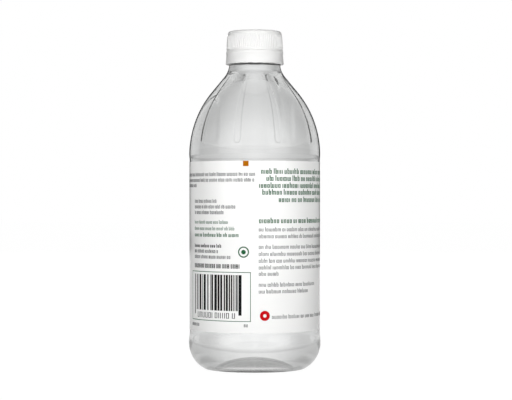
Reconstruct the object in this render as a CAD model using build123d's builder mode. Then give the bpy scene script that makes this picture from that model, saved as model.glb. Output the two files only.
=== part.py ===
from build123d import *

import os
from math import cos, radians, sin, sqrt, tan

# A full 16 fl oz (473 ml) bottle of vinegar: a round glass bottle with a fluted
# shoulder, a screw cap over its tamper band, and a label wrapped round the body.
# The bottle stands on its bearing ring. The origin is the centre of that ring on
# the surface below, +Z runs up the axis, and -Y is the side with the small print.
# Everything is in millimetres.

# Body, outside
bump_radius = 36.0  # widest ring, low on the body
bump_height = 14.0  # height of that ring
heel_radius = 15.8  # round heel from the ring down to the base
panel_radius = 35.5  # straight panel, sunk a little, for the label
panel_bottom = 20.8
panel_top = 113.2
swell_radius = 35.75  # soft ring above the panel
swell_height = 116.5
shoulder_radius = 53.2  # long arc of the shoulder
shoulder_turn = 39.5  # degrees the shoulder leans in before it runs straight
neck_radius = 13.85
neck_fillet = 12.0  # sweep from the shoulder into the neck

# Base
dome_height = 4.0  # push-up in the middle of the base
dome_radius = 23.7
land_fillet = 1.5  # rounds both sides of the bearing ring

# Inside of the glass
wall = 2.3
floor_thickness = 3.85  # over the top of the push-up
floor_curve = 57.0
inner_heel_radius = 12.0
bore_radius = 9.8

# Shoulder flutes, shallow flat-bottomed grooves that narrow upward
flute_count = 10
flute_turn = 2.6  # degrees the flutes are turned away from the label's middle
flute_bottom = 124.0  # heights of the two end centres
flute_top = 149.8
flute_bottom_width = 4.2
flute_top_width = 2.8
flute_depth = 0.32
far_flute_depth = 0.1  # on the far side, where they show only faintly through the vinegar
flute_layer = 6.0  # how far the cutter stands out of the shoulder

# Neck finish, inside the cap
collar_top = 166.9
root_radius = 12.2
lock_ring_radius = 13.2
lock_ring_bottom = 169.3
lock_ring_height = 1.5
lip_height = 182.0
lip_fillet = 0.8

# Cap and tamper band
cap_height = 183.65
cap_top_radius = 14.6
cap_skirt_radius = 15.3
cap_bore_radius = 13.45
cap_edge_fillet = 1.3
cap_rib_count = 80
cap_rib_height = 0.22
cap_rib_bottom = 173.1
cap_rib_top = 182.0
seam_top = 172.75
seam_gap = 0.2
bridge_count = 12
bridge_width = 0.8
band_bottom = 165.7
band_bottom_radius = 15.85
band_top_radius = 15.42
band_bead = 0.15  # how far the bead at the band's top stands out
band_bead_height = 1.4
band_bore_radius = 14.3
band_notch_count = 20
band_notch_depth = 0.5

# Contents and label
vinegar_level = 167.6
label_thickness = 0.15
label_bottom = 21.5
label_top = 112.4

# Heights and radii that follow from the ones above
base_radius = bump_radius - heel_radius + sqrt(heel_radius**2 - bump_height**2)
dome_curve = (dome_radius**2 + dome_height**2) / (2 * dome_height)
shoulder_centre = (swell_radius - shoulder_radius, swell_height)
shoulder_end_radius = shoulder_centre[0] + shoulder_radius * cos(radians(shoulder_turn))
shoulder_end_height = swell_height + shoulder_radius * sin(radians(shoulder_turn))
seam_bottom = seam_top - seam_gap


def slant_height(end_radius, end_height, radius):
    """Height at which the straight part of the shoulder reaches a radius."""
    return end_height + (end_radius - radius) / tan(radians(shoulder_turn))


def rib_star(radius):
    """Corners of the ribbed outline of the cap, crest and root by turns."""
    step = 180 / cap_rib_count
    roots = (radius + cap_rib_height, radius - cap_rib_height)
    return [
        Vector(roots[i % 2], 0).rotate(Axis.Z, i * step)
        for i in range(2 * cap_rib_count)
    ]


# Space inside the glass, from the floor to the lip
with BuildPart() as cavity:
    with BuildSketch(Plane.XZ):
        with BuildLine():
            inner_radius = panel_radius - wall
            floor_centre = dome_height + floor_thickness - floor_curve
            floor_edge = floor_centre + sqrt(floor_curve**2 - inner_radius**2)
            inner_shoulder = shoulder_radius - wall
            lean = radians(shoulder_turn)
            inner_end = (
                shoulder_centre[0] + inner_shoulder * cos(lean),
                swell_height + inner_shoulder * sin(lean),
            )
            bore_start = slant_height(*inner_end, bore_radius)
            RadiusArc((0, dome_height + floor_thickness), (inner_radius, floor_edge), floor_curve)
            Line((inner_radius, floor_edge), (inner_radius, panel_top))
            Line((inner_radius, panel_top), (swell_radius - wall, swell_height))
            CenterArc(shoulder_centre, inner_shoulder, 0, shoulder_turn)
            Polyline(inner_end, (bore_radius, bore_start), (bore_radius, lip_height))
            Polyline((bore_radius, lip_height), (0, lip_height), (0, dome_height + floor_thickness))
        make_face()
        floor_corner = vertices().sort_by_distance((inner_radius, floor_edge))[0]
        fillet(floor_corner, inner_heel_radius)
        bore_corner = vertices().sort_by_distance((bore_radius, bore_start))[0]
        fillet(bore_corner, neck_fillet)
    revolve(axis=Axis.Z)

# Two flute cutters, each the slot seen from outside times a layer of the shoulder
flute_cutters = []
for depth in (flute_depth, far_flute_depth):
    with BuildPart() as cutter:
        with BuildSketch(Plane.YZ):
            with Locations((0, flute_bottom)):
                Circle(flute_bottom_width / 2)
            with Locations((0, flute_top)):
                Circle(flute_top_width / 2)
            make_hull()
        extrude(amount=bump_radius)
        with BuildSketch(Plane.XZ.rotated((0, 0, -10)), mode=Mode.PRIVATE) as layer:
            with BuildLine():
                low_arc = CenterArc(shoulder_centre, shoulder_radius - depth, 0, 50)
                high_arc = CenterArc(shoulder_centre, shoulder_radius + flute_layer, 0, 50)
                Line(low_arc @ 0, high_arc @ 0)
                Line(low_arc @ 1, high_arc @ 1)
            make_face()
        revolve(layer.sketch, axis=Axis.Z, revolution_arc=20, mode=Mode.INTERSECT)
    flute_cutters.append(cutter.part)

# Glass bottle
with BuildPart() as bottle:
    with BuildSketch(Plane.XZ):
        with BuildLine():
            RadiusArc((0, dome_height), (dome_radius, 0), dome_curve)
            Line((dome_radius, 0), (base_radius, 0))
            RadiusArc((base_radius, 0), (bump_radius, bump_height), -heel_radius)
            Spline(
                (bump_radius, bump_height),
                (panel_radius, panel_bottom),
                tangents=((0, 1), (0, 1)),
            )
            Line((panel_radius, panel_bottom), (panel_radius, panel_top))
            Spline(
                (panel_radius, panel_top),
                (swell_radius, swell_height),
                tangents=((0, 1), (0, 1)),
            )
            CenterArc(shoulder_centre, shoulder_radius, 0, shoulder_turn)
            neck_start = slant_height(shoulder_end_radius, shoulder_end_height, neck_radius)
            Polyline(
                (shoulder_end_radius, shoulder_end_height),
                (neck_radius, neck_start),
                (neck_radius, collar_top),
                (root_radius, collar_top + neck_radius - root_radius),
                (root_radius, lip_height),
                (0, lip_height),
                (0, dome_height),
            )
        make_face()
        ring_corners = vertices().sort_by_distance((dome_radius, 0))[0:2]
        fillet(ring_corners, land_fillet)
        neck_corner = vertices().sort_by_distance((neck_radius, neck_start))[0]
        fillet(neck_corner, neck_fillet)
    revolve(axis=Axis.Z)
    with BuildSketch(Plane.XY.offset(lock_ring_bottom)):
        Circle(lock_ring_radius)
    extrude(amount=lock_ring_height)
    lock_ring_edges = edges().filter_by(GeomType.CIRCLE).filter_by(
        lambda edge: abs(edge.radius - lock_ring_radius) < 0.01
    )
    fillet(lock_ring_edges, lock_ring_height * 0.4)
    add(cavity.part, mode=Mode.SUBTRACT)
    lip_edges = edges().filter_by_position(Axis.Z, lip_height - 0.01, lip_height + 0.01)
    fillet(lip_edges, lip_fillet)
    for cutter_part, half_turn in zip(flute_cutters, (180, 0)):
        with PolarLocations(0, flute_count // 2, flute_turn - half_turn, 180):
            add(cutter_part, mode=Mode.SUBTRACT)

# Vinegar, up to its level inside the neck
with BuildPart() as vinegar:
    add(cavity.part)
    split(bisect_by=Plane.XY.offset(vinegar_level), keep=Keep.BOTTOM)

# Label, a thin sleeve on the panel
with BuildPart() as label:
    with BuildSketch(Plane.XY.offset(label_bottom)):
        Circle(panel_radius + label_thickness)
        Circle(panel_radius, mode=Mode.SUBTRACT)
    extrude(amount=label_top - label_bottom)

# Screw cap with a finely ribbed skirt
with BuildPart() as cap:
    with BuildSketch(Plane.XZ):
        Polygon(
            (0, lip_height),
            (cap_bore_radius, lip_height),
            (cap_bore_radius, seam_top),
            (cap_skirt_radius, seam_top),
            (cap_top_radius, cap_height),
            (0, cap_height),
            align=None,
        )
        top_corner = vertices().sort_by_distance((cap_top_radius, cap_height))[0]
        fillet(top_corner, cap_edge_fillet)
    revolve(axis=Axis.Z)
    taper = (cap_skirt_radius - cap_top_radius) / (cap_height - seam_top)
    with BuildSketch(Plane.XY.offset(cap_rib_bottom)):
        Polygon(*rib_star(cap_skirt_radius - taper * (cap_rib_bottom - seam_top)), align=None)
    with BuildSketch(Plane.XY.offset(cap_rib_top)):
        Polygon(*rib_star(cap_skirt_radius - taper * (cap_rib_top - seam_top)), align=None)
    loft(ruled=True)
    with BuildSketch(Plane.XY.offset(seam_top)):
        Circle(cap_bore_radius)
    extrude(amount=lip_height - seam_top, mode=Mode.SUBTRACT)

# Tamper band, with a bead at its top, notches below and thin bridges to the cap
with BuildPart() as tamper_band:
    with BuildSketch(Plane.XZ):
        Polygon(
            (band_bore_radius, band_bottom),
            (band_bottom_radius, band_bottom),
            (band_top_radius, seam_bottom - band_bead_height),
            (band_top_radius + band_bead, seam_bottom - band_bead_height),
            (band_top_radius + band_bead, seam_bottom),
            (band_bore_radius, seam_bottom),
            align=None,
        )
    revolve(axis=Axis.Z)
    with BuildSketch(Plane.XY.offset(seam_bottom)):
        with PolarLocations((band_bore_radius + band_top_radius) / 2, bridge_count):
            Rectangle(bridge_width, bridge_width)
    extrude(amount=seam_gap)
    with BuildSketch(Plane.XY.offset(band_bottom)):
        with PolarLocations(band_bore_radius, band_notch_count):
            Rectangle(bridge_width * 2, bridge_width)
    extrude(amount=band_notch_depth, mode=Mode.SUBTRACT)

os.makedirs("parts", exist_ok=True)
bottle.part.label = "bottle"
vinegar.part.label = "vinegar"
label.part.label = "label"
cap.part.label = "cap"
tamper_band.part.label = "tamper_band"
export_step(bottle.part, "parts/bottle.step")
export_step(vinegar.part, "parts/vinegar.step")
export_step(label.part, "parts/label.step")
export_step(cap.part, "parts/cap.step")
export_step(tamper_band.part, "parts/tamper_band.step")
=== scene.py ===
"""A full bottle of vinegar: flint glass, contents, ribbed cap, tamper band and printed label."""

import random
from math import cos, pi, radians, sin, sqrt, tan

import bpy
from bpy.props import FloatProperty, FloatVectorProperty, IntProperty, PointerProperty
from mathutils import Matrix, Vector


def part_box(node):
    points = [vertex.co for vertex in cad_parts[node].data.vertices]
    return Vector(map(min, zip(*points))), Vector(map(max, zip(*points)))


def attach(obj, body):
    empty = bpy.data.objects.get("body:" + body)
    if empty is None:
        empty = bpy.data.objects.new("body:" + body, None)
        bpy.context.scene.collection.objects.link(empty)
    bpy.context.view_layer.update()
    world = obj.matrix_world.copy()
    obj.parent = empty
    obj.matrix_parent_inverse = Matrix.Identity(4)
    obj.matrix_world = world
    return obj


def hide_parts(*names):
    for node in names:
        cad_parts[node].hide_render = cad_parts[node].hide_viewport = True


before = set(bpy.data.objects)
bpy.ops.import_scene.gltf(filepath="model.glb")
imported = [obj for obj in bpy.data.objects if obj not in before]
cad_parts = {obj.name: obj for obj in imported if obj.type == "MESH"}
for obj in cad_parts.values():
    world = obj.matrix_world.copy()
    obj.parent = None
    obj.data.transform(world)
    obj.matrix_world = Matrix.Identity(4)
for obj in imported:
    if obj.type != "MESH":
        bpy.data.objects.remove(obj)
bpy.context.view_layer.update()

bl_info = {
    "name": "Vinegar Bottle",
    "version": (1, 0, 0),
    "blender": (4, 5, 0),
    "location": "3D View > Sidebar > Bottle",
    "description": "Builds a filled glass bottle with its cap, band, label and studio",
    "category": "Add Mesh",
}

MM = 0.001
GLASS_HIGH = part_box("bottle")[1]
FILL_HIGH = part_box("vinegar")[1]
LABEL_LOW, LABEL_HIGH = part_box("label")
CAP_LOW, CAP_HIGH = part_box("cap")
BAND_LOW, BAND_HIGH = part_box("tamper_band")

# Neck finish, hidden by the cap and the band
COLLAR_RISE = 1.2 * MM  # top of the collar over the lower edge of the band
COLLAR_STEP = 1.65 * MM  # how far the finish stands in from the neck
# Angle, in radians, at which the heel leaves the bearing ring
HEEL_START = -1.05

# Inputs of the fluted glass, each set from the glass setting of the same name
FLUTE_PARTS = ("Phase", "Width", "Depth", "Bottom", "Top", "End", "Side", "Far")
FLUTE_SIZES = tuple("Flute " + part for part in FLUTE_PARTS)


def linear(code):
    """An sRGB hex colour as linear red, green and blue."""
    shares = [int(code[i : i + 2], 16) / 255 for i in (0, 2, 4)]
    return [s / 12.92 if s <= 0.04045 else ((s + 0.055) / 1.055) ** 2.4 for s in shares]


# ---------------------------------------------------------------- settings


def length(name, description, default):
    """A setting that is a length in metres."""
    return FloatProperty(name=name, description=description, default=default, unit="LENGTH")


def tone(name, description, code):
    """A setting that is a colour, from its sRGB hex code."""
    return FloatVectorProperty(name=name, description=description, default=linear(code), subtype="COLOR")


class GlassSettings(bpy.types.PropertyGroup):
    """Sizes of the glass and its flutes"""

    bump_radius: length("Bump Radius", "Radius of the widest ring, low on the body", GLASS_HIGH.x)
    bump_height: length("Bump Height", "Height of the widest ring", 14.0 * MM)
    heel_radius: length("Heel Radius", "Round of the heel, ring to base", 15.8 * MM)
    panel_radius: length("Panel Radius", "Radius of the label panel", 35.5 * MM)
    panel_bottom: length("Panel Bottom", "Height where the panel starts", 20.8 * MM)
    panel_top: length("Panel Top", "Height where the panel ends", 113.2 * MM)
    swell_radius: length("Swell Radius", "Soft ring over the panel", 35.75 * MM)
    swell_height: length("Swell Height", "Height of that soft ring", 116.5 * MM)
    shoulder_radius: length("Shoulder Radius", "Long arc of the shoulder", 53.2 * MM)
    shoulder_turn: FloatProperty(
        name="Shoulder Turn",
        description="How far the shoulder leans in before it runs straight",
        default=radians(39.5),
        unit="ROTATION",
    )
    neck_radius: length("Neck Radius", "Outside of the neck", 13.85 * MM)
    neck_sweep: length("Neck Sweep", "Round between shoulder and neck", 12.0 * MM)
    dome_height: length("Dome Height", "Height of the push-up", 4.0 * MM)
    dome_radius: length("Dome Radius", "Radius of the push-up", 23.7 * MM)
    ring_round: length("Ring Round", "Rounds both sides of the bearing ring", 1.5 * MM)
    wall: length("Wall", "Thickness of the glass", 2.3 * MM)
    floor: length("Floor", "Thickness over the push-up", 3.85 * MM)
    floor_curve: length("Floor Curve", "Radius of the inside of the floor", 57.0 * MM)
    inner_heel: length("Inner Heel", "Round of the inside of the heel", 12.0 * MM)
    bore_radius: length("Bore Radius", "Inside of the neck", 9.8 * MM)
    segments: IntProperty(name="Segments", description="Steps round the glass", default=360, min=24)
    flute_count: IntProperty(name="Flutes", description="Flutes round the shoulder", default=10, min=0)
    flute_phase: FloatProperty(
        name="Flute Phase",
        description="Angle of one flute from +X",
        default=radians(20.6 - 90),
        unit="ROTATION",
    )
    flute_width: FloatProperty(
        name="Flute Width", description="Angle that one flute spans", default=radians(6.8), unit="ROTATION"
    )
    flute_depth: length("Flute Depth", "How deep a flute is sunk", 0.32 * MM)
    flute_bottom: length("Flute Bottom", "Height of a flute's lower end centre", 124.0 * MM)
    flute_top: length("Flute Top", "Height of a flute's upper end centre", 149.8 * MM)
    flute_end: length("Flute End", "Length of a flute's round end", 2.4 * MM)
    flute_side: FloatProperty(
        name="Flute Side", description="Share of a flute taken up by its soft sides", default=0.5, min=0.05
    )
    flute_far: FloatProperty(
        name="Flute Far", description="Share of the depth that the far flutes have", default=0.3, min=0.0
    )


class FillSettings(bpy.types.PropertyGroup):
    """The vinegar"""

    reach: length(
        "Reach", "How far the vinegar reaches into the wall, so that no air shows between", 0.12 * MM
    )
    meniscus: length("Meniscus", "How far the surface climbs the glass", 0.6 * MM)


class CapSettings(bpy.types.PropertyGroup):
    """The screw cap and its band"""

    colour: tone("Colour", "Moulded plastic", "F8F8F7")
    top_radius: length("Top Radius", "Radius of the skirt at the top", 14.6 * MM)
    skirt_radius: length("Skirt Radius", "Radius of the skirt at the seam", 15.3 * MM)
    edge_round: length("Edge Round", "Round of the top edge", 1.3 * MM)
    bore: length("Bore", "Inside radius of the skirt", 13.45 * MM)
    rib_count: IntProperty(name="Ribs", description="Ribs round the skirt", default=80, min=0)
    rib_height: length("Rib Height", "How far a rib stands out", 0.25 * MM)
    band_bore: length("Band Bore", "Inside radius of the tamper band", 14.3 * MM)
    band_top: length("Band Top", "Radius of the band under its bead", 15.42 * MM)
    bead: length("Bead", "How far the bead at the band's top stands out", 0.15 * MM)
    bead_height: length("Bead Height", "Height of that bead", 1.4 * MM)
    seam: length("Seam", "Gap between cap and band", 0.12 * MM)
    bridges: IntProperty(name="Bridges", description="Thin bridges over the seam", default=12, min=0)
    tabs: IntProperty(name="Tabs", description="Tabs under the band", default=20, min=0)


class LabelSettings(bpy.types.PropertyGroup):
    """The label and its print"""

    paper: tone("Paper", "Coated white face", "FAFAF9")
    green: tone("Green", "Main ink", "1D5734")
    grey: tone("Grey", "Ink of the small print", "4A4B4D")
    black: tone("Black", "Ink of the stripes", "151617")
    red: tone("Red", "Spot ink", "B80008")
    ochre: tone("Ochre", "Ink of the register mark", "A96200")
    ink: length("Ink", "Thickness of the ink", 0.03 * MM)
    seed: IntProperty(name="Seed", description="Choice of the placeholder strokes", default=7)


class StudioSettings(bpy.types.PropertyGroup):
    """Camera, lights and floor"""

    distance: length("Distance", "Camera to the axis of the bottle", 0.903)
    eye: length("Eye", "Height of the camera", 0.0917)
    lens: FloatProperty(name="Lens", description="Focal length", default=116.1, unit="CAMERA")
    key: FloatProperty(name="Key", description="Soft light behind the camera", default=26.0, unit="POWER")
    fill: FloatProperty(name="Fill", description="Soft light behind the bottle", default=9.0, unit="POWER")
    room: FloatProperty(
        name="Room", description="Brightness of the backdrop on matt surfaces", default=0.14, min=0.0
    )
    flags: length("Flags", "Distance of the dark flags behind the bottle", 2.1)


# ------------------------------------------------------------------ outlines


def arc(centre, radius, start, end, steps):
    """Points of an arc in the (radius, height) plane, between two angles in radians."""
    turns = [start + (end - start) * i / steps for i in range(steps + 1)]
    return [Vector((centre[0] + radius * cos(t), centre[1] + radius * sin(t))) for t in turns]


def ease(start, end, steps):
    """Points of an upright line that shifts softly from one radius to another."""
    points = []
    for i in range(steps + 1):
        t = i / steps
        side = t * t * (3 - 2 * t)
        points.append(Vector((start[0] + (end[0] - start[0]) * side, start[1] + (end[1] - start[1]) * t)))
    return points


def rounded(before, corner, after, radius, steps=6):
    """Points of the arc that rounds one corner between two straight runs."""
    before, corner, after = Vector(before), Vector(corner), Vector(after)
    back, ahead = (before - corner).normalized(), (after - corner).normalized()
    half = back.angle(ahead) / 2
    centre = corner + (back + ahead).normalized() * radius / sin(half)
    first = corner + back * radius / tan(half) - centre
    last = corner + ahead * radius / tan(half) - centre
    return [centre + first.lerp(last, i / steps).normalized() * radius for i in range(steps + 1)]


def outline(corners, steps=6):
    """An outline through corners (radius, height, round), each with its own round."""
    points = []
    for i, (r, z, bend) in enumerate(corners):
        if bend:
            before, after = corners[i - 1][:2], corners[(i + 1) % len(corners)][:2]
            points += rounded(before, (r, z), after, bend, steps)
        else:
            points.append(Vector((r, z)))
    return points


def glass_outside(size):
    """Outer outline of the glass, from the middle of the base up to the lip."""
    turn, lip = size.shoulder_turn, GLASS_HIGH.z
    dome = (size.dome_radius**2 + size.dome_height**2) / (2 * size.dome_height)
    heel = (size.bump_radius - size.heel_radius, size.bump_height)
    ring = heel[0] + sqrt(size.heel_radius**2 - size.bump_height**2)
    shoulder = (size.swell_radius - size.shoulder_radius, size.swell_height)
    end = arc(shoulder, size.shoulder_radius, turn, turn, 1)[0]
    neck = Vector((size.neck_radius, end.y + (end.x - size.neck_radius) / tan(turn)))
    collar = BAND_LOW.z + COLLAR_RISE
    root = size.neck_radius - COLLAR_STEP
    # The two sides of the bearing ring meet the land at the same shallow slope.
    slope = Vector((cos(size.dome_radius / dome), sin(size.dome_radius / dome))) * 2 * MM
    inner_side = Vector((size.dome_radius, 0)) + Vector((-slope.x, slope.y))
    outer_side = Vector((ring, 0)) + slope
    clear = size.ring_round * 0.3
    return (
        arc((0, size.dome_height - dome), dome, pi / 2, pi / 2 - (size.dome_radius - clear) / dome, 12)
        + rounded(inner_side, (size.dome_radius, 0), (ring, 0), size.ring_round)
        + rounded((size.dome_radius, 0), (ring, 0), outer_side, size.ring_round)
        + arc(heel, size.heel_radius, HEEL_START, 0, 20)
        + ease((size.bump_radius, size.bump_height), (size.panel_radius, size.panel_bottom), 8)[1:]
        + ease((size.panel_radius, size.panel_top), (size.swell_radius, size.swell_height), 6)
        + arc(shoulder, size.shoulder_radius, 0, turn, 64)[1:]
        + rounded(end, neck, (neck.x, collar), size.neck_sweep, 16)
        + outline(
            [
                (neck.x, neck.y, 0),
                (neck.x, collar, 0.4 * MM),
                (root, collar + COLLAR_STEP, 0.4 * MM),
                (root, lip, 0.8 * MM),
                (size.bore_radius, lip, 0),
            ]
        )[1:-1]
    )


def glass_inside(size, reach=0.0):
    """Inner outline of the glass, from the middle of the floor up to the lip, reaching into the wall."""
    turn, lip = size.shoulder_turn, GLASS_HIGH.z
    wall = size.wall - reach
    radius = size.panel_radius - wall
    floor_top = size.dome_height + size.floor - reach
    heel = size.inner_heel
    # The heel's arc touches the wall and the domed floor.
    heel_centre = Vector((radius - heel, 0))
    heel_centre.y = floor_top - size.floor_curve + sqrt((size.floor_curve + heel) ** 2 - heel_centre.x**2)
    lean = Vector((heel_centre.x, heel_centre.y - floor_top + size.floor_curve))
    touch = lean.angle_signed(Vector((1, 0)))
    shoulder = (size.swell_radius - size.shoulder_radius, size.swell_height)
    inner = size.shoulder_radius - wall
    end = arc(shoulder, inner, turn, turn, 1)[0]
    bore = size.bore_radius + reach
    neck = Vector((bore, end.y + (end.x - bore) / tan(turn)))
    return (
        arc((0, floor_top - size.floor_curve), size.floor_curve, pi / 2, touch, 12)
        + arc(heel_centre, heel, touch - pi, 0, 14)[1:]
        + ease((radius, size.panel_top), (size.swell_radius - wall, size.swell_height), 4)
        + arc(shoulder, inner, 0, turn, 30)[1:]
        + rounded(end, neck, (bore, lip), size.neck_sweep, 10)
        + [Vector((bore, lip))]
    )


# ------------------------------------------------------------------ building


def add(tree, kind, inputs=None, **settings):
    """Adds a node with its settings, and links or sets its inputs."""
    node = tree.nodes.new(kind)
    for name, value in settings.items():
        setattr(node, name, value)
    for key, value in (inputs or {}).items():
        socket = node.inputs[key]
        if isinstance(value, bpy.types.Node):
            value = value.outputs[0]
        if isinstance(value, bpy.types.NodeSocket):
            tree.links.new(value, socket)
        else:
            socket.default_value = value
    return node


def geometry_tree(name, inputs):
    """A Geometry Nodes tree with named inputs, as the tree, its input node and its output node."""
    tree = bpy.data.node_groups.new(name, "GeometryNodeTree")
    tree.interface.new_socket("Geometry", in_out="INPUT", socket_type="NodeSocketGeometry")
    for label, kind in inputs.items():
        tree.interface.new_socket(label, in_out="INPUT", socket_type="NodeSocket" + kind)
    tree.interface.new_socket("Geometry", in_out="OUTPUT", socket_type="NodeSocketGeometry")
    return tree, tree.nodes.new("NodeGroupInput").outputs, tree.nodes.new("NodeGroupOutput")


def source_object(name, points, attributes):
    """A bare mesh of points for a tree to work on, with point attributes."""
    mesh = bpy.data.meshes.new(name)
    mesh.from_pydata(points, [], [])
    for label, values in attributes.items():
        vector = isinstance(values[0], (tuple, list, Vector))
        layer = mesh.attributes.new(label, "FLOAT_VECTOR" if vector else "FLOAT", "POINT")
        for item, value in zip(layer.data, values):
            if vector:
                item.vector = value
            else:
                item.value = value
    made = bpy.data.objects.new(name, mesh)
    bpy.context.scene.collection.objects.link(made)
    return made


def grow(source, tree, values, name, crease=35):
    """Runs a tree on a source object and keeps its result as a plain mesh piece."""
    modifier = source.modifiers.new(tree.name, "NODES")
    modifier.node_group = tree
    for item in tree.interface.items_tree:
        if item.in_out == "INPUT" and item.name in values:
            modifier[item.identifier] = values[item.name]
    graph = bpy.context.evaluated_depsgraph_get()
    mesh = bpy.data.meshes.new_from_object(source.evaluated_get(graph))
    bpy.data.objects.remove(source)
    mesh.name = name
    mesh.materials.clear()
    mesh.materials.append(values["Material"])
    mesh.shade_smooth()
    mesh.set_sharp_from_angle(angle=radians(crease))
    piece = bpy.data.objects.new(name, mesh)
    bpy.context.scene.collection.objects.link(piece)
    return piece


def outline_object(name, points, outside=None):
    """An outline in the (radius, height) plane as a source object, with its outside marked."""
    spots = [(p.x, 0, p.y) for p in points]
    return source_object(name, spots, {"outside": outside or [0.0] * len(spots)})


def lathe_group():
    """Tree that turns an outline round the upright axis and closes its seam and poles."""
    if "Lathe" in bpy.data.node_groups:
        return bpy.data.node_groups["Lathe"]
    names = {"Segments": "Int", "Folds": "Float", "Crowding": "Float", "Phase": "Float"}
    tree, given, out = geometry_tree("Lathe", names)
    count = add(tree, "GeometryNodeAttributeDomainSize", {0: given["Geometry"]}, component="MESH")
    across = add(tree, "ShaderNodeMath", {0: given["Segments"], 1: 1.0}, operation="ADD")
    grid = add(
        tree,
        "GeometryNodeMeshGrid",
        {"Size X": 1.0, "Size Y": 1.0, "Vertices X": across, "Vertices Y": count.outputs["Point Count"]},
    )
    place = add(tree, "ShaderNodeSeparateXYZ", {0: add(tree, "GeometryNodeInputPosition")})
    u = add(tree, "ShaderNodeMath", {0: place.outputs["X"], 1: 0.5}, operation="ADD")
    v = add(tree, "ShaderNodeMath", {0: place.outputs["Y"], 1: 0.5}, operation="ADD")
    last = add(tree, "ShaderNodeMath", {0: count.outputs["Point Count"], 1: 1.0}, operation="SUBTRACT")
    row = add(tree, "ShaderNodeMath", {0: v, 1: last}, operation="MULTIPLY")
    index = add(tree, "ShaderNodeMath", {0: row}, operation="ROUND")
    spot = add(
        tree,
        "GeometryNodeSampleIndex",
        {"Geometry": given["Geometry"], "Value": add(tree, "GeometryNodeInputPosition"), "Index": index},
        data_type="FLOAT_VECTOR",
    )
    mark = add(tree, "GeometryNodeInputNamedAttribute", {"Name": "outside"}, data_type="FLOAT")
    marked = add(
        tree,
        "GeometryNodeSampleIndex",
        {"Geometry": given["Geometry"], "Value": mark, "Index": index},
        data_type="FLOAT",
    )
    even = add(tree, "ShaderNodeMath", {0: u, 1: 2 * pi}, operation="MULTIPLY")
    # Steps crowd together round each fold, where the shape needs them.
    ahead = add(tree, "ShaderNodeMath", {0: even, 1: given["Phase"]}, operation="SUBTRACT")
    wave = add(tree, "ShaderNodeMath", {0: ahead, 1: given["Folds"]}, operation="MULTIPLY")
    swing = add(tree, "ShaderNodeMath", {0: wave}, operation="SINE")
    share = add(tree, "ShaderNodeMath", {0: given["Crowding"], 1: given["Folds"]}, operation="DIVIDE")
    shift = add(tree, "ShaderNodeMath", {0: swing, 1: share}, operation="MULTIPLY")
    turn = add(tree, "ShaderNodeMath", {0: even, 1: shift}, operation="SUBTRACT")
    turned = add(
        tree, "ShaderNodeVectorRotate", {"Vector": spot, "Angle": turn}, rotation_type="Z_AXIS"
    )
    kept = add(
        tree,
        "GeometryNodeStoreNamedAttribute",
        {"Geometry": grid, "Name": "outside", "Value": marked},
        data_type="FLOAT",
        domain="POINT",
    )
    moved = add(tree, "GeometryNodeSetPosition", {"Geometry": kept, "Position": turned})
    closed = add(tree, "GeometryNodeMergeByDistance", {"Geometry": moved, "Distance": 0.001 * MM})
    tree.links.new(closed.outputs[0], out.inputs[0])
    return tree


def finish_tree(tree, geometry, given, out):
    """Ends a tree with its instances realized and its material set."""
    real = add(tree, "GeometryNodeRealizeInstances", {"Geometry": geometry})
    painted = add(tree, "GeometryNodeSetMaterial", {"Geometry": real, "Material": given["Material"]})
    tree.links.new(painted.outputs[0], out.inputs[0])


def turning_tree(name, inputs):
    """A tree that turns an outline, as the tree, its inputs, its output node and the turned body."""
    tree, given, out = geometry_tree(name, {"Segments": "Int", **inputs, "Material": "Material"})
    body = add(
        tree,
        "GeometryNodeGroup",
        {"Geometry": given["Geometry"], "Segments": given["Segments"]},
        node_tree=lathe_group(),
    )
    return tree, given, out, body


def turned_tree():
    """Tree of a plain turned piece."""
    if "Turned piece" in bpy.data.node_groups:
        return bpy.data.node_groups["Turned piece"]
    tree, given, out, body = turning_tree("Turned piece", {})
    finish_tree(tree, body, given, out)
    return tree


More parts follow.
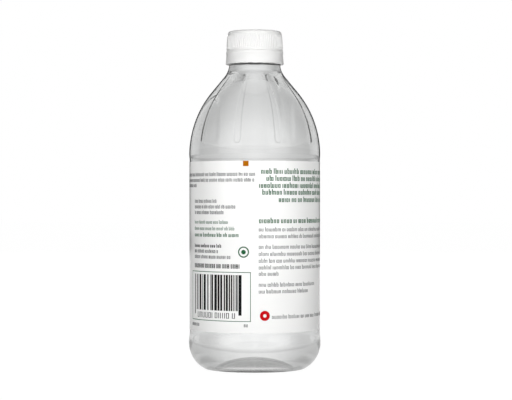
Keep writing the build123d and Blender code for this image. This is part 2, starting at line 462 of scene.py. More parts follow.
def fluted_tree():
    """Tree of the glass: a turned outline whose outside is sunk in flutes over the shoulder."""
    names = dict.fromkeys(("Flutes", *FLUTE_SIZES), "Float")
    tree, given, out, body = turning_tree("Fluted glass", names)
    tree.links.new(given["Flutes"], body.inputs["Folds"])
    tree.links.new(given["Flute Phase"], body.inputs["Phase"])
    body.inputs["Crowding"].default_value = 0.62
    place = add(tree, "ShaderNodeSeparateXYZ", {0: add(tree, "GeometryNodeInputPosition")})
    # Angle round the axis, folded to the turn from the middle of the nearest flute.
    angle = add(
        tree, "ShaderNodeMath", {0: place.outputs["Y"], 1: place.outputs["X"]}, operation="ARCTAN2"
    )
    half = add(tree, "ShaderNodeMath", {0: pi, 1: given["Flutes"]}, operation="DIVIDE")
    lag = add(tree, "ShaderNodeMath", {0: angle, 1: given["Flute Phase"]}, operation="SUBTRACT")
    fold = add(tree, "ShaderNodeMath", {0: lag, 1: half}, operation="PINGPONG")
    span = add(tree, "ShaderNodeMath", {0: given["Flute Width"], 1: 0.5}, operation="MULTIPLY")
    across = add(tree, "ShaderNodeMath", {0: fold, 1: span}, operation="DIVIDE")
    # How far past either end centre, as a share of the round end.
    under = add(
        tree, "ShaderNodeMath", {0: given["Flute Bottom"], 1: place.outputs["Z"]}, operation="SUBTRACT"
    )
    over = add(tree, "ShaderNodeMath", {0: place.outputs["Z"], 1: given["Flute Top"]}, operation="SUBTRACT")
    past = add(tree, "ShaderNodeMath", {0: under, 1: over}, operation="MAXIMUM")
    beyond = add(tree, "ShaderNodeMath", {0: past, 1: 0.0}, operation="MAXIMUM")
    along = add(tree, "ShaderNodeMath", {0: beyond, 1: given["Flute End"]}, operation="DIVIDE")
    across2 = add(tree, "ShaderNodeMath", {0: across, 1: 2.0}, operation="POWER")
    along2 = add(tree, "ShaderNodeMath", {0: along, 1: 2.0}, operation="POWER")
    away = add(tree, "ShaderNodeMath", {0: across2, 1: along2}, operation="ADD")
    inside = add(tree, "ShaderNodeMath", {0: 1.0, 1: away}, operation="SUBTRACT", use_clamp=True)
    # A flat-bottomed flute with soft sides.
    hollow = add(
        tree,
        "ShaderNodeMapRange",
        {"Value": inside, "From Max": given["Flute Side"]},
        interpolation_type="SMOOTHSTEP",
    )
    mark = add(tree, "GeometryNodeInputNamedAttribute", {"Name": "outside"}, data_type="FLOAT")
    # Past the middle, over a few millimetres, the flutes turn into the shallow ones of the far side.
    far = add(
        tree,
        "ShaderNodeMapRange",
        {"Value": place.outputs["Y"], "From Min": -2 * MM, "From Max": 2 * MM, "To Min": 1.0},
    )
    tree.links.new(given["Flute Far"], far.inputs["To Max"])
    pressed = add(tree, "ShaderNodeMath", {0: hollow, 1: mark}, operation="MULTIPLY")
    # The sides of a flute are kept as an attribute, for the painted shade the glass gets where the eye looks
    # along the wall.
    rest = add(tree, "ShaderNodeMath", {0: 1.0, 1: hollow}, operation="SUBTRACT")
    halfway = add(tree, "ShaderNodeMath", {0: pressed, 1: rest}, operation="MULTIPLY")
    sides = add(tree, "ShaderNodeMath", {0: halfway, 1: 4.0}, operation="MULTIPLY")
    kept = add(
        tree,
        "GeometryNodeStoreNamedAttribute",
        {"Geometry": body, "Name": "flute_side", "Value": sides},
        data_type="FLOAT",
        domain="POINT",
    )
    skin = add(tree, "ShaderNodeMath", {0: pressed, 1: far}, operation="MULTIPLY")
    depth = add(tree, "ShaderNodeMath", {0: skin, 1: given["Flute Depth"]}, operation="MULTIPLY")
    sunk = add(tree, "ShaderNodeMath", {0: depth, 1: -1.0}, operation="MULTIPLY")
    push = add(
        tree,
        "ShaderNodeVectorMath",
        {0: add(tree, "GeometryNodeInputNormal"), "Scale": sunk},
        operation="SCALE",
    )
    shaped = add(tree, "GeometryNodeSetPosition", {"Geometry": kept, "Offset": push})
    finish_tree(tree, shaped, given, out)
    return tree


def set_round(tree, shape, count):
    """Copies of a shape set round the upright axis at even steps, as the socket that holds them."""
    spots = add(tree, "GeometryNodePoints", {"Count": count})
    index = add(tree, "GeometryNodeInputIndex")
    number = add(tree, "ShaderNodeMath", {0: index, 1: 2 * pi}, operation="MULTIPLY")
    turn = add(tree, "ShaderNodeMath", {0: number, 1: count}, operation="DIVIDE")
    spin = add(tree, "ShaderNodeCombineXYZ", {"Z": turn})
    copies = {"Points": spots, "Instance": shape, "Rotation": spin}
    return add(tree, "GeometryNodeInstanceOnPoints", copies).outputs[0]


def ribbed_tree():
    """Tree of the cap: a turned outline with slim round ribs set round its skirt."""
    names = {"Ribs": "Int", "Rib Width": "Float", "Low": "Vector", "High": "Vector"}
    tree, given, out, body = turning_tree("Ribbed cap", names)
    line = add(tree, "GeometryNodeCurvePrimitiveLine", {"Start": given["Low"], "End": given["High"]})
    steps = add(tree, "GeometryNodeResampleCurve", {"Curve": line, "Count": 9})
    # The rib narrows to round tips at both ends.
    where = add(tree, "GeometryNodeSplineParameter")
    middle = add(tree, "ShaderNodeMath", {0: where.outputs["Factor"], 1: 0.5}, operation="SUBTRACT")
    reach = add(tree, "ShaderNodeMath", {0: middle, 1: 2.0}, operation="MULTIPLY")
    tip = add(tree, "ShaderNodeMath", {0: reach, 1: 8.0}, operation="POWER")
    left = add(tree, "ShaderNodeMath", {0: 1.0, 1: tip}, operation="SUBTRACT", use_clamp=True)
    round_tip = add(tree, "ShaderNodeMath", {0: left}, operation="SQRT")
    width = add(tree, "ShaderNodeMath", {0: round_tip, 1: given["Rib Width"]}, operation="MULTIPLY")
    thick = add(tree, "ShaderNodeMath", {0: width, 1: 0.02 * MM}, operation="MAXIMUM")
    ring = add(tree, "GeometryNodeCurvePrimitiveCircle", {"Resolution": 8, "Radius": 1.0}, mode="RADIUS")
    shaped = add(tree, "GeometryNodeSetCurveRadius", {"Curve": steps, "Radius": thick})
    radius = add(tree, "GeometryNodeInputRadius")
    rib = add(
        tree,
        "GeometryNodeCurveToMesh",
        {"Curve": shaped, "Profile Curve": ring, "Scale": radius, "Fill Caps": True},
    )
    joined = add(tree, "GeometryNodeJoinGeometry", {0: body})
    tree.links.new(set_round(tree, rib, given["Ribs"]), joined.inputs[0])
    finish_tree(tree, joined, given, out)
    return tree


def blocks_tree():
    """Tree of a turned piece with small blocks set round it, such as tabs and bridges."""
    names = {}
    for kind in ("Tab", "Bridge"):
        names |= {kind + "s": "Int", kind + " Place": "Vector", kind + " Size": "Vector"}
    tree, given, out, body = turning_tree("Tamper band", names)
    joined = add(tree, "GeometryNodeJoinGeometry", {0: body})
    for kind in ("Tab", "Bridge"):
        block = add(tree, "GeometryNodeMeshCube", {"Size": given[kind + " Size"]})
        place = given[kind + " Place"]
        set_out = add(tree, "GeometryNodeTransform", {"Geometry": block, "Translation": place})
        tree.links.new(set_round(tree, set_out, given[kind + "s"]), joined.inputs[0])
    finish_tree(tree, joined, given, out)
    return tree


def print_tree():
    """Tree that lays flat marks at points, each of its own size, and wraps them round the label."""
    if "Wrapped print" in bpy.data.node_groups:
        return bpy.data.node_groups["Wrapped print"]
    names = {"Radius": "Float", "Steps": "Int", "Round": "Bool", "Material": "Material"}
    tree, given, out = geometry_tree("Wrapped print", names)
    bar = add(tree, "GeometryNodeMeshCube", {"Size": (1.0, 1.0, 1.0), "Vertices X": given["Steps"]})
    disc = add(
        tree,
        "GeometryNodeMeshCylinder",
        {"Vertices": 40, "Fill Segments": 5, "Radius": 0.5, "Depth": 1.0},
        fill_type="TRIANGLE_FAN",
    )
    upright = add(tree, "GeometryNodeTransform", {"Geometry": disc, "Rotation": (pi / 2, 0.0, 0.0)})
    shape = add(
        tree,
        "GeometryNodeSwitch",
        {"Switch": given["Round"], "False": bar, "True": upright},
        input_type="GEOMETRY",
    )
    size = add(tree, "GeometryNodeInputNamedAttribute", {"Name": "size"}, data_type="FLOAT_VECTOR")
    copies = {"Points": given["Geometry"], "Instance": shape, "Scale": size}
    marks = add(tree, "GeometryNodeInstanceOnPoints", copies)
    flat = add(tree, "GeometryNodeRealizeInstances", {"Geometry": marks})
    place = add(tree, "ShaderNodeSeparateXYZ", {0: add(tree, "GeometryNodeInputPosition")})
    reach = add(tree, "ShaderNodeMath", {0: given["Radius"], 1: place.outputs["Y"]}, operation="SUBTRACT")
    angle = add(tree, "ShaderNodeMath", {0: place.outputs["X"], 1: given["Radius"]}, operation="DIVIDE")
    ahead = add(tree, "ShaderNodeMath", {0: reach, 1: -1.0}, operation="MULTIPLY")
    front = add(tree, "ShaderNodeCombineXYZ", {"Y": ahead, "Z": place.outputs["Z"]})
    bent = add(tree, "ShaderNodeVectorRotate", {"Vector": front, "Angle": angle}, rotation_type="Z_AXIS")
    wrapped = add(tree, "GeometryNodeSetPosition", {"Geometry": flat, "Position": bent})
    finish_tree(tree, wrapped, given, out)
    return tree


# ----------------------------------------------------------------- materials

# Greys of the room as glass and gloss see them, as (input, output) points
SIDE_GREYS = ((0.0, 1.0), (0.11, 0.97), (0.2, 0.92), (0.38, 0.74), (0.52, 0.64), (0.7, 0.62), (1.0, 0.68))
FLOOR_GREYS = (
    (0.0, 1.0), (0.06, 1.0), (0.085, 0.93), (0.12, 0.8), (0.17, 0.71), (0.25, 0.72), (0.5, 0.84), (1.0, 0.9),
)
UPWARD_GREYS = (
    (0.0, 0.85), (0.035, 0.83), (0.065, 0.77), (0.09, 0.71),
    (0.13, 0.57), (0.2, 0.42), (0.35, 0.35), (1.0, 0.35),
)
FLAG_GREYS = ((0.0, 0.02), (0.45, 0.02), (0.62, 0.85), (1.0, 0.9))
# Share of the floor that glows to the camera, while the rest takes the bottle's shadow
GLOW_SHARE = 0.9
# Strength of that glow, at which glow and lamp light together come out white
FLOOR_WHITE = 1.085
# Distance, in metres, at which the grey sides are drawn in to half their width
SQUEEZE_REACH = 0.135
# Strength of the light from overhead on matt surfaces
OVERHEAD = 0.35


def material(name):
    """A new node material, as the material, its tree, its shader and its Object coordinates."""
    made = bpy.data.materials.new(name)
    made.use_nodes = True
    tree = made.node_tree
    shader = tree.nodes["Principled BSDF"]
    coords = add(tree, "ShaderNodeTexCoord").outputs["Object"]
    return made, tree, shader, coords


def grain(tree, coords, size, detail=2.0):
    """Noise with grains of a real size in metres, as its 0 to 1 value."""
    spread = add(tree, "ShaderNodeMapping", {"Vector": coords, "Scale": (1 / size, 1 / size, 1 / size)})
    noise = add(tree, "ShaderNodeTexNoise", {"Vector": spread, "Scale": 1.0, "Detail": detail})
    return noise.outputs[0]


def stain(tree, shader, pattern, dark, light):
    """Colours a surface from dark to light with a 0 to 1 pattern, and hands back the colour."""
    ends = {6: (*dark, 1.0), 7: (*light, 1.0)}
    mixed = add(tree, "ShaderNodeMix", {0: pattern, **ends}, data_type="RGBA")
    tree.links.new(mixed.outputs[2], shader.inputs["Base Color"])
    return mixed.outputs[2]


def roughen(tree, shader, pattern, low, high):
    """Spreads the roughness of a surface between two levels with a 0 to 1 pattern."""
    spread = add(tree, "ShaderNodeMapRange", {"Value": pattern, "To Min": low, "To Max": high})
    tree.links.new(spread.outputs[0], shader.inputs["Roughness"])


def emboss(tree, shader, pattern, strength, depth):
    """Raises a surface a little with a 0 to 1 pattern, up to a depth in metres."""
    bump = add(tree, "ShaderNodeBump", {"Height": pattern, "Strength": strength, "Distance": depth})
    tree.links.new(bump.outputs[0], shader.inputs["Normal"])


def shine_through(tree, shader, colour, share):
    """Lets a share of the light from behind through a thin surface."""
    through = add(tree, "ShaderNodeBsdfTranslucent", {"Color": (*colour, 1.0)})
    both = add(tree, "ShaderNodeMixShader", {0: share, 1: shader, 2: through})
    tree.links.new(both.outputs[0], tree.nodes["Material Output"].inputs["Surface"])


def flint_glass():
    """Soda-lime flint glass, blown in a mould: colourless, fire-polished, with a slow ripple and painted
    dark edges.
    """
    made, tree, shader, coords = material("flint_glass_moulded")
    shader.inputs["IOR"].default_value = 1.52
    shader.inputs["Transmission Weight"].default_value = 1.0
    ripple = grain(tree, coords, 22 * MM, 1.0)
    clear = stain(tree, shader, ripple, linear("FDFEFE"), linear("FFFFFF"))
    # Painted shade: the camera sees the upper glass turned dark grey at its silhouette, where the eye looks
    # along the wall.
    facing = add(tree, "ShaderNodeLayerWeight", {"Blend": 0.5}).outputs["Facing"]
    rim = add(tree, "ShaderNodeMapRange", {"Value": facing, "From Min": 0.68, "From Max": 0.86})
    place = add(tree, "ShaderNodeSeparateXYZ", {0: coords})
    high = add(
        tree, "ShaderNodeMapRange", {"Value": place.outputs["Z"], "From Min": 40 * MM, "From Max": 110 * MM}
    )
    skin = add(tree, "ShaderNodeAttribute", attribute_name="outside").outputs["Fac"]
    upper = add(tree, "ShaderNodeMath", {0: rim, 1: high}, operation="MULTIPLY")
    # The sides of the flutes get the same painted shade, only fainter.
    sides = add(tree, "ShaderNodeAttribute", attribute_name="flute_side").outputs["Fac"]
    faint = add(tree, "ShaderNodeMath", {0: sides, 1: 0.3}, operation="MULTIPLY")
    painted_edge_mask = add(tree, "ShaderNodeMath", {0: upper, 1: faint}, operation="MAXIMUM")
    near = add(tree, "ShaderNodeLightPath").outputs["Is Camera Ray"]
    first = add(tree, "ShaderNodeMath", {0: painted_edge_mask, 1: near}, operation="MULTIPLY")
    outer = add(tree, "ShaderNodeMath", {0: first, 1: skin}, operation="MULTIPLY")
    # Inside, a dark line of shade is painted on the thick floor where the eye looks along it.
    graze = add(tree, "ShaderNodeMapRange", {"Value": facing, "From Min": 0.9, "From Max": 0.96})
    deep = add(tree, "ShaderNodeMath", {0: place.outputs["Z"], 1: 9 * MM}, operation="LESS_THAN")
    inner = add(tree, "ShaderNodeMath", {0: 1.0, 1: skin}, operation="SUBTRACT")
    along = add(tree, "ShaderNodeMath", {0: graze, 1: deep}, operation="MULTIPLY")
    line = add(tree, "ShaderNodeMath", {0: along, 1: inner}, operation="MULTIPLY")
    dark = add(tree, "ShaderNodeMath", {0: outer, 1: line}, operation="MAXIMUM")
    grey = (*linear("202222"), 1.0)
    # The painted dark grey of the edges, mixed into the glass colour
    painted_edge_shade = add(tree, "ShaderNodeMix", {0: dark, 6: clear, 7: grey}, data_type="RGBA")
    tree.links.new(painted_edge_shade.outputs[2], shader.inputs["Base Color"])
    shader.inputs["Roughness"].default_value = 0.0
    emboss(tree, shader, ripple, 0.12, 0.3 * MM)
    return made


def white_vinegar():
    """Distilled white vinegar, thin as water: colourless, with the faintest warm cast in places."""
    made, tree, shader, coords = material("white_vinegar")
    shader.inputs["IOR"].default_value = 1.34
    shader.inputs["Transmission Weight"].default_value = 1.0
    shader.inputs["Roughness"].default_value = 0.0
    haze = grain(tree, coords, 30 * MM, 1.0)
    stain(tree, shader, haze, linear("FDFDFC"), linear("FFFFFF"))
    return made


def moulded_plastic(colour):
    """White polypropylene, injection moulded: a satin skin with a fine even texture."""
    made, tree, shader, coords = material("polypropylene_moulded")
    shader.inputs["IOR"].default_value = 1.49
    fine = grain(tree, coords, 0.35 * MM)
    cloud = grain(tree, coords, 6 * MM)
    stain(tree, shader, cloud, [c * 0.97 for c in colour], colour)
    roughen(tree, shader, fine, 0.38, 0.5)
    emboss(tree, shader, fine, 0.15, 0.02 * MM)
    shine_through(tree, shader, colour, 0.06)
    return made


def coated_paper(colour):
    """Coated label paper with a clear varnish: white, glossy at a slant, with a little light through it."""
    made, tree, shader, coords = material("label_paper_coated")
    shader.inputs["IOR"].default_value = 1.5
    fibre = grain(tree, coords, 0.6 * MM, 4.0)
    cloud = grain(tree, coords, 9 * MM)
    stain(tree, shader, cloud, [c * 0.975 for c in colour], colour)
    roughen(tree, shader, fibre, 0.08, 0.14)
    emboss(tree, shader, fibre, 0.08, 0.02 * MM)
    # Painted glow: seen through the glass, the back of the paper glows, brighter towards the top, in place
    # of the light the bottle holds.
    path = add(tree, "ShaderNodeLightPath")
    place = add(tree, "ShaderNodeSeparateXYZ", {0: coords})
    upright = {"Value": place.outputs["Z"], "From Min": 20 * MM, "From Max": 105 * MM}
    height = add(tree, "ShaderNodeMapRange", {**upright, "To Min": 0.25, "To Max": 0.85})
    bent = path.outputs["Is Transmission Ray"]
    clear = add(tree, "ShaderNodeMath", {0: 1.0, 1: path.outputs["Is Diffuse Ray"]}, operation="SUBTRACT")
    seen = add(tree, "ShaderNodeMath", {0: bent, 1: clear}, operation="MULTIPLY")
    painted_glow = add(tree, "ShaderNodeMath", {0: seen, 1: height}, operation="MULTIPLY")
    tree.links.new(painted_glow.outputs[0], shader.inputs["Emission Strength"])
    shine_through(tree, shader, colour, 0.08)
    return made


def printing_ink(name, colour):
    """Flexographic ink on the coated paper: even, a little mottled where it dried, satin."""
    made, tree, shader, coords = material("ink_" + name)
    mottle = grain(tree, coords, 0.5 * MM, 3.0)
    stain(tree, shader, mottle, colour, [c * 1.15 for c in colour])
    roughen(tree, shader, mottle, 0.4, 0.55)
    shader.inputs["Specular IOR Level"].default_value = 0.12
    return made


def bend(node, points):
    """Runs the curve of a curve node through (input, output) points."""
    line = node.mapping.curves[0]
    for spot, (x, y) in zip(line.points, (points[0], points[-1])):
        spot.location = (x, y)
    for x, y in points[1:-1]:
        line.points.new(x, y)
    node.mapping.update()
    return node


def backdrop(tree, x, y, spread=1.0):
    """The turn from the middle of the nearest of four walls, 0 to 1, and how bright glass sees the wall."""
    angle = add(tree, "ShaderNodeMath", {0: x, 1: y}, operation="ARCTAN2")
    fold = add(tree, "ShaderNodeMath", {0: angle, 1: pi / 4}, operation="PINGPONG")
    share = add(tree, "ShaderNodeMath", {0: fold, 1: pi / 4}, operation="DIVIDE")
    turned = add(tree, "ShaderNodeMath", {0: share, 1: spread}, operation="MULTIPLY", use_clamp=True)
    return turned, bend(add(tree, "ShaderNodeFloatCurve", {"Value": turned}), SIDE_GREYS)


def seen_by(tree, path, through, mirrored, straight, lit):
    """One level for each kind of ray: through glass, mirrored, straight from the camera, or lighting."""
    level = lit
    for ray, seen in (("Glossy", mirrored), ("Transmission", through), ("Camera", straight)):
        is_ray = path.outputs[f"Is {ray} Ray"]
        level = add(tree, "ShaderNodeMix", {0: is_ray, 2: level, 3: seen}, data_type="FLOAT")
    return level.outputs[0]


def studio_floor(flag_distance):
    """Matt white studio floor: it shows white to the camera and to glass, and keeps a soft shadow."""
    made, tree, shader, coords = material("studio_floor_matt")
    shader.inputs["Roughness"].default_value = 0.9
    shade = grain(tree, coords, 0.4, 2.0)
    stain(tree, shader, shade, linear("EEEEEE"), linear("F2F2F2"))
    path = add(tree, "ShaderNodeLightPath")
    place = add(tree, "ShaderNodeSeparateXYZ", {0: coords})
    away = add(tree, "ShaderNodeVectorMath", {0: coords}, operation="LENGTH").outputs["Value"]
    # Close to the bottle the grey sides draw in, because it squeezes what lies right behind it.
    near = add(tree, "ShaderNodeMath", {0: SQUEEZE_REACH, 1: away}, operation="DIVIDE")
    steep = add(tree, "ShaderNodeMath", {0: near, 1: 1.6}, operation="POWER")
    spread = add(tree, "ShaderNodeMath", {0: steep, 1: 1.0}, operation="ADD")
    sides = backdrop(tree, place.outputs["X"], place.outputs["Y"], spread)[1]
    # Over two metres, the floor dips to grey and comes back to nearly white.
    far = add(tree, "ShaderNodeMath", {0: away, 1: 0.5}, operation="MULTIPLY")
    dip = bend(add(tree, "ShaderNodeFloatCurve", {"Value": far}), FLOOR_GREYS)
    through = add(tree, "ShaderNodeMath", {0: dip, 1: sides}, operation="MULTIPLY")
    # Gloss sees it white up to the dark flags.
    flags = {"Value": away, "From Min": flag_distance * 0.8, "From Max": flag_distance}
    mirrored = add(tree, "ShaderNodeMapRange", {**flags, "To Min": 0.95, "To Max": 0.03})
    level = seen_by(tree, path, through, mirrored, FLOOR_WHITE, 0.0)
    seen = add(tree, "ShaderNodeMath", {0: level, 1: 0.01}, operation="GREATER_THAN")
    glow = add(tree, "ShaderNodeEmission", {"Color": (1.0, 1.0, 1.0, 1.0), "Strength": level})
    # Glass sees the glow alone, so the pools of the lamps on the floor don't show through the bottle.
    through_glass = path.outputs["Is Transmission Ray"]
    whole = add(tree, "ShaderNodeMath", {0: through_glass, 1: GLOW_SHARE}, operation="MAXIMUM")
    share = add(tree, "ShaderNodeMath", {0: seen, 1: whole}, operation="MULTIPLY")
    both = add(tree, "ShaderNodeMixShader", {0: share, 1: shader, 2: glow})
    tree.links.new(both.outputs[0], tree.nodes["Material Output"].inputs["Surface"])
    return made


def studio_world(room):
    """White to the camera. Glass sees each wall grey at its sides, gloss sees a dark flag in its middle."""
    world = bpy.data.worlds.new("studio_room")
    bpy.context.scene.world = world
    world.use_nodes = True
    tree = world.node_tree
    aim = add(tree, "ShaderNodeTexCoord").outputs["Generated"]
    parts = add(tree, "ShaderNodeSeparateXYZ", {0: aim})
    path = add(tree, "ShaderNodeLightPath")
    turned, sides = backdrop(tree, parts.outputs["X"], parts.outputs["Y"])
    # The backdrop darkens upward from the horizon, as seen through the base.
    upward = bend(add(tree, "ShaderNodeFloatCurve", {"Value": parts.outputs["Z"]}), UPWARD_GREYS)
    through = add(tree, "ShaderNodeMath", {0: sides, 1: upward}, operation="MULTIPLY")
    flags = bend(add(tree, "ShaderNodeFloatCurve", {"Value": turned}), FLAG_GREYS)
    high = add(tree, "ShaderNodeMapRange", {"Value": parts.outputs["Z"], "From Min": 0.3, "From Max": 0.6})
    mirrored = add(tree, "ShaderNodeMix", {0: high, 2: flags, 3: 0.8}, data_type="FLOAT")
    # Matt surfaces are lit by the backdrop from behind more than by the room in front.
    rearward = {"Value": parts.outputs["Y"], "From Min": -0.6, "From Max": 0.6}
    behind = add(tree, "ShaderNodeMapRange", {**rearward, "To Min": room * 0.1, "To Max": room})
    # A soft top light from overhead.
    over = add(tree, "ShaderNodeMapRange", {"Value": parts.outputs["Z"], "From Min": 0.65, "From Max": 0.9})
    lit = add(tree, "ShaderNodeMix", {0: over, 2: behind, 3: OVERHEAD}, data_type="FLOAT")
    level = seen_by(tree, path, through, mirrored, 1.0, lit)
    back = tree.nodes["Background"]
    back.inputs["Color"].default_value = (1.0, 1.0, 1.0, 1.0)
    tree.links.new(level, back.inputs["Strength"])
    return world


# ---------------------------------------------------------------- operators


class BOTTLE_OT_glass(bpy.types.Operator):
    """Blow the glass bottle: a turned outline with flutes pressed into the shoulder"""

    bl_idname = "bottle.glass"
    bl_label = "Glass Bottle"

    def execute(self, context):
        size = context.scene.bottle_glass
        outside = glass_outside(size)
        inside = glass_inside(size)
        marks = [1.0] * len(outside) + [0.0] * len(inside)
        source = outline_object("glass_outline", outside + inside[::-1], marks)
        values = {
            "Segments": size.segments,
            "Flutes": float(size.flute_count),
            **{name: getattr(size, name.lower().replace(" ", "_")) for name in FLUTE_SIZES},
            "Material": flint_glass(),
        }
        piece = grow(source, fluted_tree(), values, "glass_bottle")
        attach(piece, "root")
        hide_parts("bottle")
        return {"FINISHED"}


class BOTTLE_OT_fill(bpy.types.Operator):
    """Fill the bottle with vinegar, which reaches just into the wall"""

    bl_idname = "bottle.fill"
    bl_label = "Vinegar"

    def execute(self, context):
        size, fill = context.scene.bottle_glass, context.scene.bottle_fill
        level = FILL_HIGH.z
        wall = [p for p in glass_inside(size, fill.reach) if p.y < level]
        bore = size.bore_radius + fill.reach
        # The surface bends up only close to the wall.
        shares = (1, 0.97, 0.92, 0.85, 0.7, 0.4, 0)
        climb = [Vector((bore * t, level + fill.meniscus * (t**8 - 1))) for t in shares]
        source = outline_object("vinegar_outline", wall + climb)
        values = {"Segments": 160, "Material": white_vinegar()}
        piece = grow(source, turned_tree(), values, "vinegar_fill")
        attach(piece, "root")
        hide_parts("vinegar")
        return {"FINISHED"}


class BOTTLE_OT_cap(bpy.types.Operator):
    """Mould the screw cap with its ribbed skirt"""

    bl_idname = "bottle.cap"
    bl_label = "Screw Cap"

    def execute(self, context):
        size = context.scene.bottle_cap
        low, high = CAP_LOW.z, CAP_HIGH.z
        lip = GLASS_HIGH.z
        # The top is sunk a little inside a low rim.
        sunk = high - 0.15 * MM
        points = outline(
            [
                (0, sunk, 0),
                (size.top_radius * 0.8, sunk, 0.3 * MM),
                (size.top_radius * 0.84, high, 0.3 * MM),
                (size.top_radius, high, size.edge_round),
                (size.skirt_radius, low, 0.06 * MM),
                (size.bore, low, 0.12 * MM),
                (size.bore, lip, 0.3 * MM),
                (0, lip, 0),
            ]
        )
        taper = (size.skirt_radius - size.top_radius) / (high - low)
        rib_low, rib_high = low + 0.35 * MM, high - size.edge_round - 0.3 * MM
        inset = 0.12 * MM  # how far a rib is rooted in the skirt
        values = {
            "Segments": 192,
            "Ribs": size.rib_count,
            "Rib Width": size.rib_height + inset,
            "Low": (size.skirt_radius - taper * (rib_low - low) - inset, 0.0, rib_low),
            "High": (size.skirt_radius - taper * (rib_high - low) - inset, 0.0, rib_high),
            "Material": moulded_plastic(size.colour),
        }
        source = outline_object("cap_outline", points[::-1])
        piece = grow(source, ribbed_tree(), values, "screw_cap", 50)
        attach(piece, "root")
        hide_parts("cap")
        return {"FINISHED"}


class BOTTLE_OT_band(bpy.types.Operator):
    """Mould the tamper band with its bead, tabs and bridges"""

    bl_idname = "bottle.band"
    bl_label = "Tamper Band"

    def execute(self, context):
        size = context.scene.bottle_cap
        low, high = BAND_LOW.z, CAP_LOW.z - size.seam
        step, slope = high - size.bead_height, 0.1 * MM
        points = outline(
            [
                (size.band_bore, low, 0.2 * MM),
                (BAND_HIGH.x, low, 0.25 * MM),
                (size.band_top, step - slope, 0),
                (size.band_top + size.bead, step + slope, 0.08 * MM),
                (size.band_top + size.bead, high, 0.06 * MM),
                (size.band_bore, high, 0.1 * MM),
            ]
        )
        points.append(points[0])
        values = {
            "Segments": 192,
            "Tabs": size.tabs,
            "Tab Place": (size.band_bore + 0.25 * MM, 0.0, low + 0.1 * MM),
            "Tab Size": (1.1 * MM, 2.6 * MM, 0.5 * MM),
            "Bridges": size.bridges,
            "Bridge Place": (size.band_bore + 0.5 * MM, 0.0, high + size.seam / 2),
            "Bridge Size": (0.7 * MM, 0.7 * MM, size.seam + 0.1 * MM),
            "Material": bpy.data.materials["polypropylene_moulded"],
        }
        source = outline_object("band_outline", points)
        piece = grow(source, blocks_tree(), values, "tamper_evident_band", 50)
        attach(piece, "root")
        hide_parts("tamper_band")
        return {"FINISHED"}


class BOTTLE_OT_label(bpy.types.Operator):
    """Wrap the label round the panel"""

    bl_idname = "bottle.label"
    bl_label = "Label"

    def execute(self, context):
        size = context.scene.bottle_label
        # Glued to the glass, so the paper starts just inside its skin with no air between.
        inner, outer = context.scene.bottle_glass.panel_radius - 0.06 * MM, LABEL_HIGH.x
        low, high = LABEL_LOW.z, LABEL_HIGH.z
        edge = 0.05 * MM
        points = outline([(inner, low, 0), (outer, low, edge), (outer, high, edge), (inner, high, 0)], 3)
        points.append(points[0])
        values = {"Segments": 288, "Material": coated_paper(size.paper)}
        piece = grow(outline_object("label_outline", points), turned_tree(), values, "wrapped_label")
        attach(piece, "root")
        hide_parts("label")
        return {"FINISHED"}


def line_of_strokes(draw, left, right, low, height, pitch, weight, body=0.68):
    """Placeholder print of one line, stems joined by thin bars, as (centre, size) in millimetres."""
    marks = []
    bar, x = weight * 0.62, left
    while x < right - pitch:
        for _ in range(draw.choice((2, 3, 4, 5, 6, 7))):
            if x > right - pitch:
                break
            stems = draw.choice((1, 2, 2, 2, 2, 3))
            first = height if draw.random() < 0.25 else height * body
            for i in range(stems):
                tall = height * body if i else first
                marks.append(((x + i * pitch * 0.5 + weight / 2, low + tall / 2), (weight, tall)))
            wide = (stems - 1) * pitch * 0.5 + weight
            joins = draw.choice(((1,), (0,), (0, 1), (0, 1), (0, 0.5, 1)))
            for share in joins if stems > 1 else (0,):
                marks.append(((x + wide / 2, low + bar / 2 + share * (height * body - bar)), (wide, bar)))
            x += wide + pitch * 0.27
        x += pitch * 0.42
    return marks


# Kinds of print, as (height, pitch, weight, body) in millimetres, the body as a share of the height
HEADLINE = (2.9, 1.6, 0.5)
TEXT = (2.2, 1.4, 0.3)
SMALL = (1.95, 1.1, 0.3, 0.8)
FAR = 62.0  # where lines end that run on round the bottle
# Lines of each ink and kind, as (left, right, height) in millimetres from the middle of the label
PRINT_LINES = (
    (
        "green",
        HEADLINE,
        (
            (3.4, FAR, 105.5), (6.2, FAR, 101.8), (2.3, FAR, 98.1),
            (4.0, FAR, 94.5), (13.0, FAR, 90.6), (2.3, FAR, 79.5),
        ),
    ),
    ("green", (1.95, 1.1, 0.26), ((-40, -13.4, 79.1), (-40, -10, 75.7))),
    ("green", (2.2, 1.25, 0.4), ((-40, -8.4, 72.2),)),
    (
        "grey",
        TEXT,
        (
            (2.2, FAR, 75.2), (2.2, FAR, 71.6), (2.2, FAR, 66.0), (2.2, FAR, 62.3), (2.2, FAR, 58.7),
            (2.2, FAR, 55.2), (2.2, 13.3, 51.9), (2.2, 40.5, 46.1), (2.2, 33.8, 42.6), (9.2, FAR, 29.2),
        ),
    ),
    (
        "grey",
        SMALL,
        (
            (-FAR, 0.9, 104.4), (-FAR, 0.9, 101.4), (-FAR, -37.6, 98.6), (-40, -21.3, 90.2),
            (-40, -10, 87.2), (-40, -16.6, 84.2), (-40, -20.3, 63.6), (-40, -12.8, 60.6),
            (-43.3, -34.8, 24.4), (-5.7, -2.4, 24.8),
        ),
    ),
    ("black", (2.0, 1.15, 0.42), ((-40, -18.1, 66.5),)),
    ("black", (2.2, 1.15, 0.4, 1.0), ((-40, -6.4, 55.6),)),
    ("black", (2.9, 2.5, 0.42, 1.0), ((-36.5, -9.5, 29.2),)),
)
# The panel of stripes and the thin frame round it, in millimetres
STRIPE, STRIPES_LEFT, STRIPES_RIGHT, STRIPES_TOP = 0.42, -39.7, -6.0, 52.2
FRAME_LINES = (
    ((-22.65, 53.6), (41.3, 0.35)),
    ((-22.65, 27.8), (41.3, 0.35)),
    ((-43.1, 40.7), (0.35, 26.1)),
    ((-2.2, 40.7), (0.35, 26.1)),
)


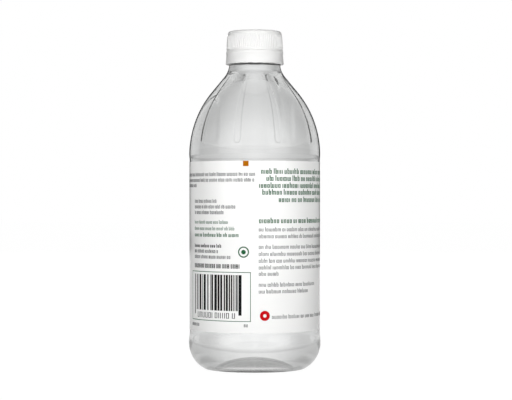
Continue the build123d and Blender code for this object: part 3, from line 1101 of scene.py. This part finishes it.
class BOTTLE_OT_print(bpy.types.Operator):
    """Print the label with lines of placeholder strokes, stripes and plain marks"""

    bl_idname = "bottle.print"
    bl_label = "Print"

    def lay(self, context, name, ink, marks, steps=2, is_round=False, lift=0.0):
        """Makes one printed piece from marks ((u, z), (width, height)) in millimetres."""
        size = context.scene.bottle_label
        points = [(u * MM, -lift * MM, z * MM) for (u, z), _ in marks]
        sizes = [(w * MM, size.ink, h * MM) for _, (w, h) in marks]
        source = source_object(name + "_marks", points, {"size": sizes})
        values = {"Radius": LABEL_HIGH.x, "Steps": steps, "Round": is_round, "Material": ink}
        piece = grow(source, print_tree(), values, name)
        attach(piece, "root")

    def execute(self, context):
        size = context.scene.bottle_label
        draw = random.Random(size.seed)
        ink = {n: printing_ink(n, getattr(size, n)) for n in ("green", "grey", "black", "red", "ochre")}
        paper = bpy.data.materials["label_paper_coated"]
        pieces = {"green": [], "grey": [], "black": []}
        for name, kind, lines in PRINT_LINES:
            for left, right, low in lines:
                pieces[name] += line_of_strokes(draw, left, right, low, *kind)
        # Upright stripes of random widths, the outer ones a little longer.
        left, top = STRIPES_LEFT, STRIPES_TOP
        while left < STRIPES_RIGHT:
            wide = STRIPE * draw.choice((1, 1, 2, 3, 4))
            deep = 30.9 if left < STRIPES_LEFT + 1.7 or left > STRIPES_RIGHT - 3 else 33.2
            pieces["black"].append(((left + wide / 2, (deep + top) / 2), (wide, top - deep)))
            left += wide + STRIPE * draw.choice((1, 1, 2, 3))
        for name, marks in pieces.items():
            self.lay(context, "print_" + name, ink[name], marks)
        self.lay(context, "print_frame", ink["green"], FRAME_LINES, steps=40)
        ring, disc, register = (-5.9, 64.3), (5.4, 30.8), (-4.7, 110.9)
        self.lay(context, "print_ring", ink["green"], [(ring, (5.9, 5.9))], is_round=True)
        self.lay(context, "print_ring_field", paper, [(ring, (4.6, 4.6))], is_round=True, lift=0.01)
        self.lay(context, "print_ring_dot", ink["green"], [(ring, (2.4, 2.4))], is_round=True, lift=0.02)
        self.lay(context, "print_red_disc", ink["red"], [(disc, (5.3, 5.3))], is_round=True)
        self.lay(context, "print_red_disc_dot", paper, [(disc, (1.8, 1.8))], is_round=True, lift=0.01)
        self.lay(context, "print_register", ink["ochre"], [(register, (3.0, 2.8))], steps=4)
        return {"FINISHED"}


class BOTTLE_OT_studio(bpy.types.Operator):
    """Set up the floor, the lights, the room and the camera"""

    bl_idname = "bottle.studio"
    bl_label = "Studio"

    def execute(self, context):
        scene, studio = context.scene, context.scene.bottle_studio
        scene.view_settings.view_transform = "Standard"
        mesh = bpy.data.meshes.new("studio_floor")
        reach = 6.0
        corners = [(x * reach, y * reach, 0) for x, y in ((-1, -1), (1, -1), (1, 1), (-1, 1))]
        mesh.from_pydata(corners, [], [(0, 1, 2, 3)])
        mesh.materials.append(studio_floor(studio.flags))
        floor = bpy.data.objects.new("studio_floor", mesh)
        scene.collection.objects.link(floor)
        studio_world(studio.room)
        # Two soft boxes, one low behind the camera and one high behind the bottle for its far side.
        boxes = (("key", (0.0, -1.4, 0.13), studio.key), ("fill", (0.0, 1.6, 0.9), studio.fill))
        middle = Vector((0, 0, 0.09))
        for name, place, power in boxes:
            lamp = bpy.data.lights.new(name, "AREA")
            lamp.shape = "RECTANGLE"
            lamp.size, lamp.size_y = 0.9, 0.7
            lamp.energy = power
            box = bpy.data.objects.new(name, lamp)
            box.location = place
            box.rotation_euler = (middle - box.location).to_track_quat("-Z", "Y").to_euler()
            box.visible_glossy = False
            box.visible_transmission = False
            scene.collection.objects.link(box)
        lens = bpy.data.cameras.new("camera")
        lens.lens = studio.lens
        camera = bpy.data.objects.new("camera", lens)
        camera.location = (0.7 * MM, -studio.distance, studio.eye)
        camera.rotation_euler = (pi / 2, 0.0, 0.0)
        scene.collection.objects.link(camera)
        scene.camera = camera
        return {"FINISHED"}


class BOTTLE_PT_panel(bpy.types.Panel):
    """Lists the pieces of the bottle"""

    bl_label = "Vinegar Bottle"
    bl_idname = "BOTTLE_PT_panel"
    bl_space_type = "VIEW_3D"
    bl_region_type = "UI"
    bl_category = "Bottle"

    def draw(self, context):
        for operator in OPERATORS:
            self.layout.operator(operator.bl_idname)
        for name in SETTINGS:
            box = self.layout.box()
            group = getattr(context.scene, name)
            for key in group.__annotations__:
                box.prop(group, key)


OPERATORS = (
    BOTTLE_OT_studio,
    BOTTLE_OT_glass,
    BOTTLE_OT_fill,
    BOTTLE_OT_cap,
    BOTTLE_OT_band,
    BOTTLE_OT_label,
    BOTTLE_OT_print,
)
SETTINGS = {
    "bottle_glass": GlassSettings,
    "bottle_fill": FillSettings,
    "bottle_cap": CapSettings,
    "bottle_label": LabelSettings,
    "bottle_studio": StudioSettings,
}


def register():
    """Registers the settings, the operators and the panel."""
    for group in SETTINGS.values():
        bpy.utils.register_class(group)
    for name, group in SETTINGS.items():
        setattr(bpy.types.Scene, name, PointerProperty(type=group))
    for operator in OPERATORS:
        bpy.utils.register_class(operator)
    bpy.utils.register_class(BOTTLE_PT_panel)


def unregister():
    """Takes the classes and settings out again, in the opposite order."""
    bpy.utils.unregister_class(BOTTLE_PT_panel)
    for operator in reversed(OPERATORS):
        bpy.utils.unregister_class(operator)
    for name, group in reversed(list(SETTINGS.items())):
        delattr(bpy.types.Scene, name)
        bpy.utils.unregister_class(group)


def main():
    """Builds every piece in order."""
    register()
    for operator in OPERATORS:
        space, verb = operator.bl_idname.split(".")
        getattr(getattr(bpy.ops, space), verb)()


if __name__ == "__main__":
    main()
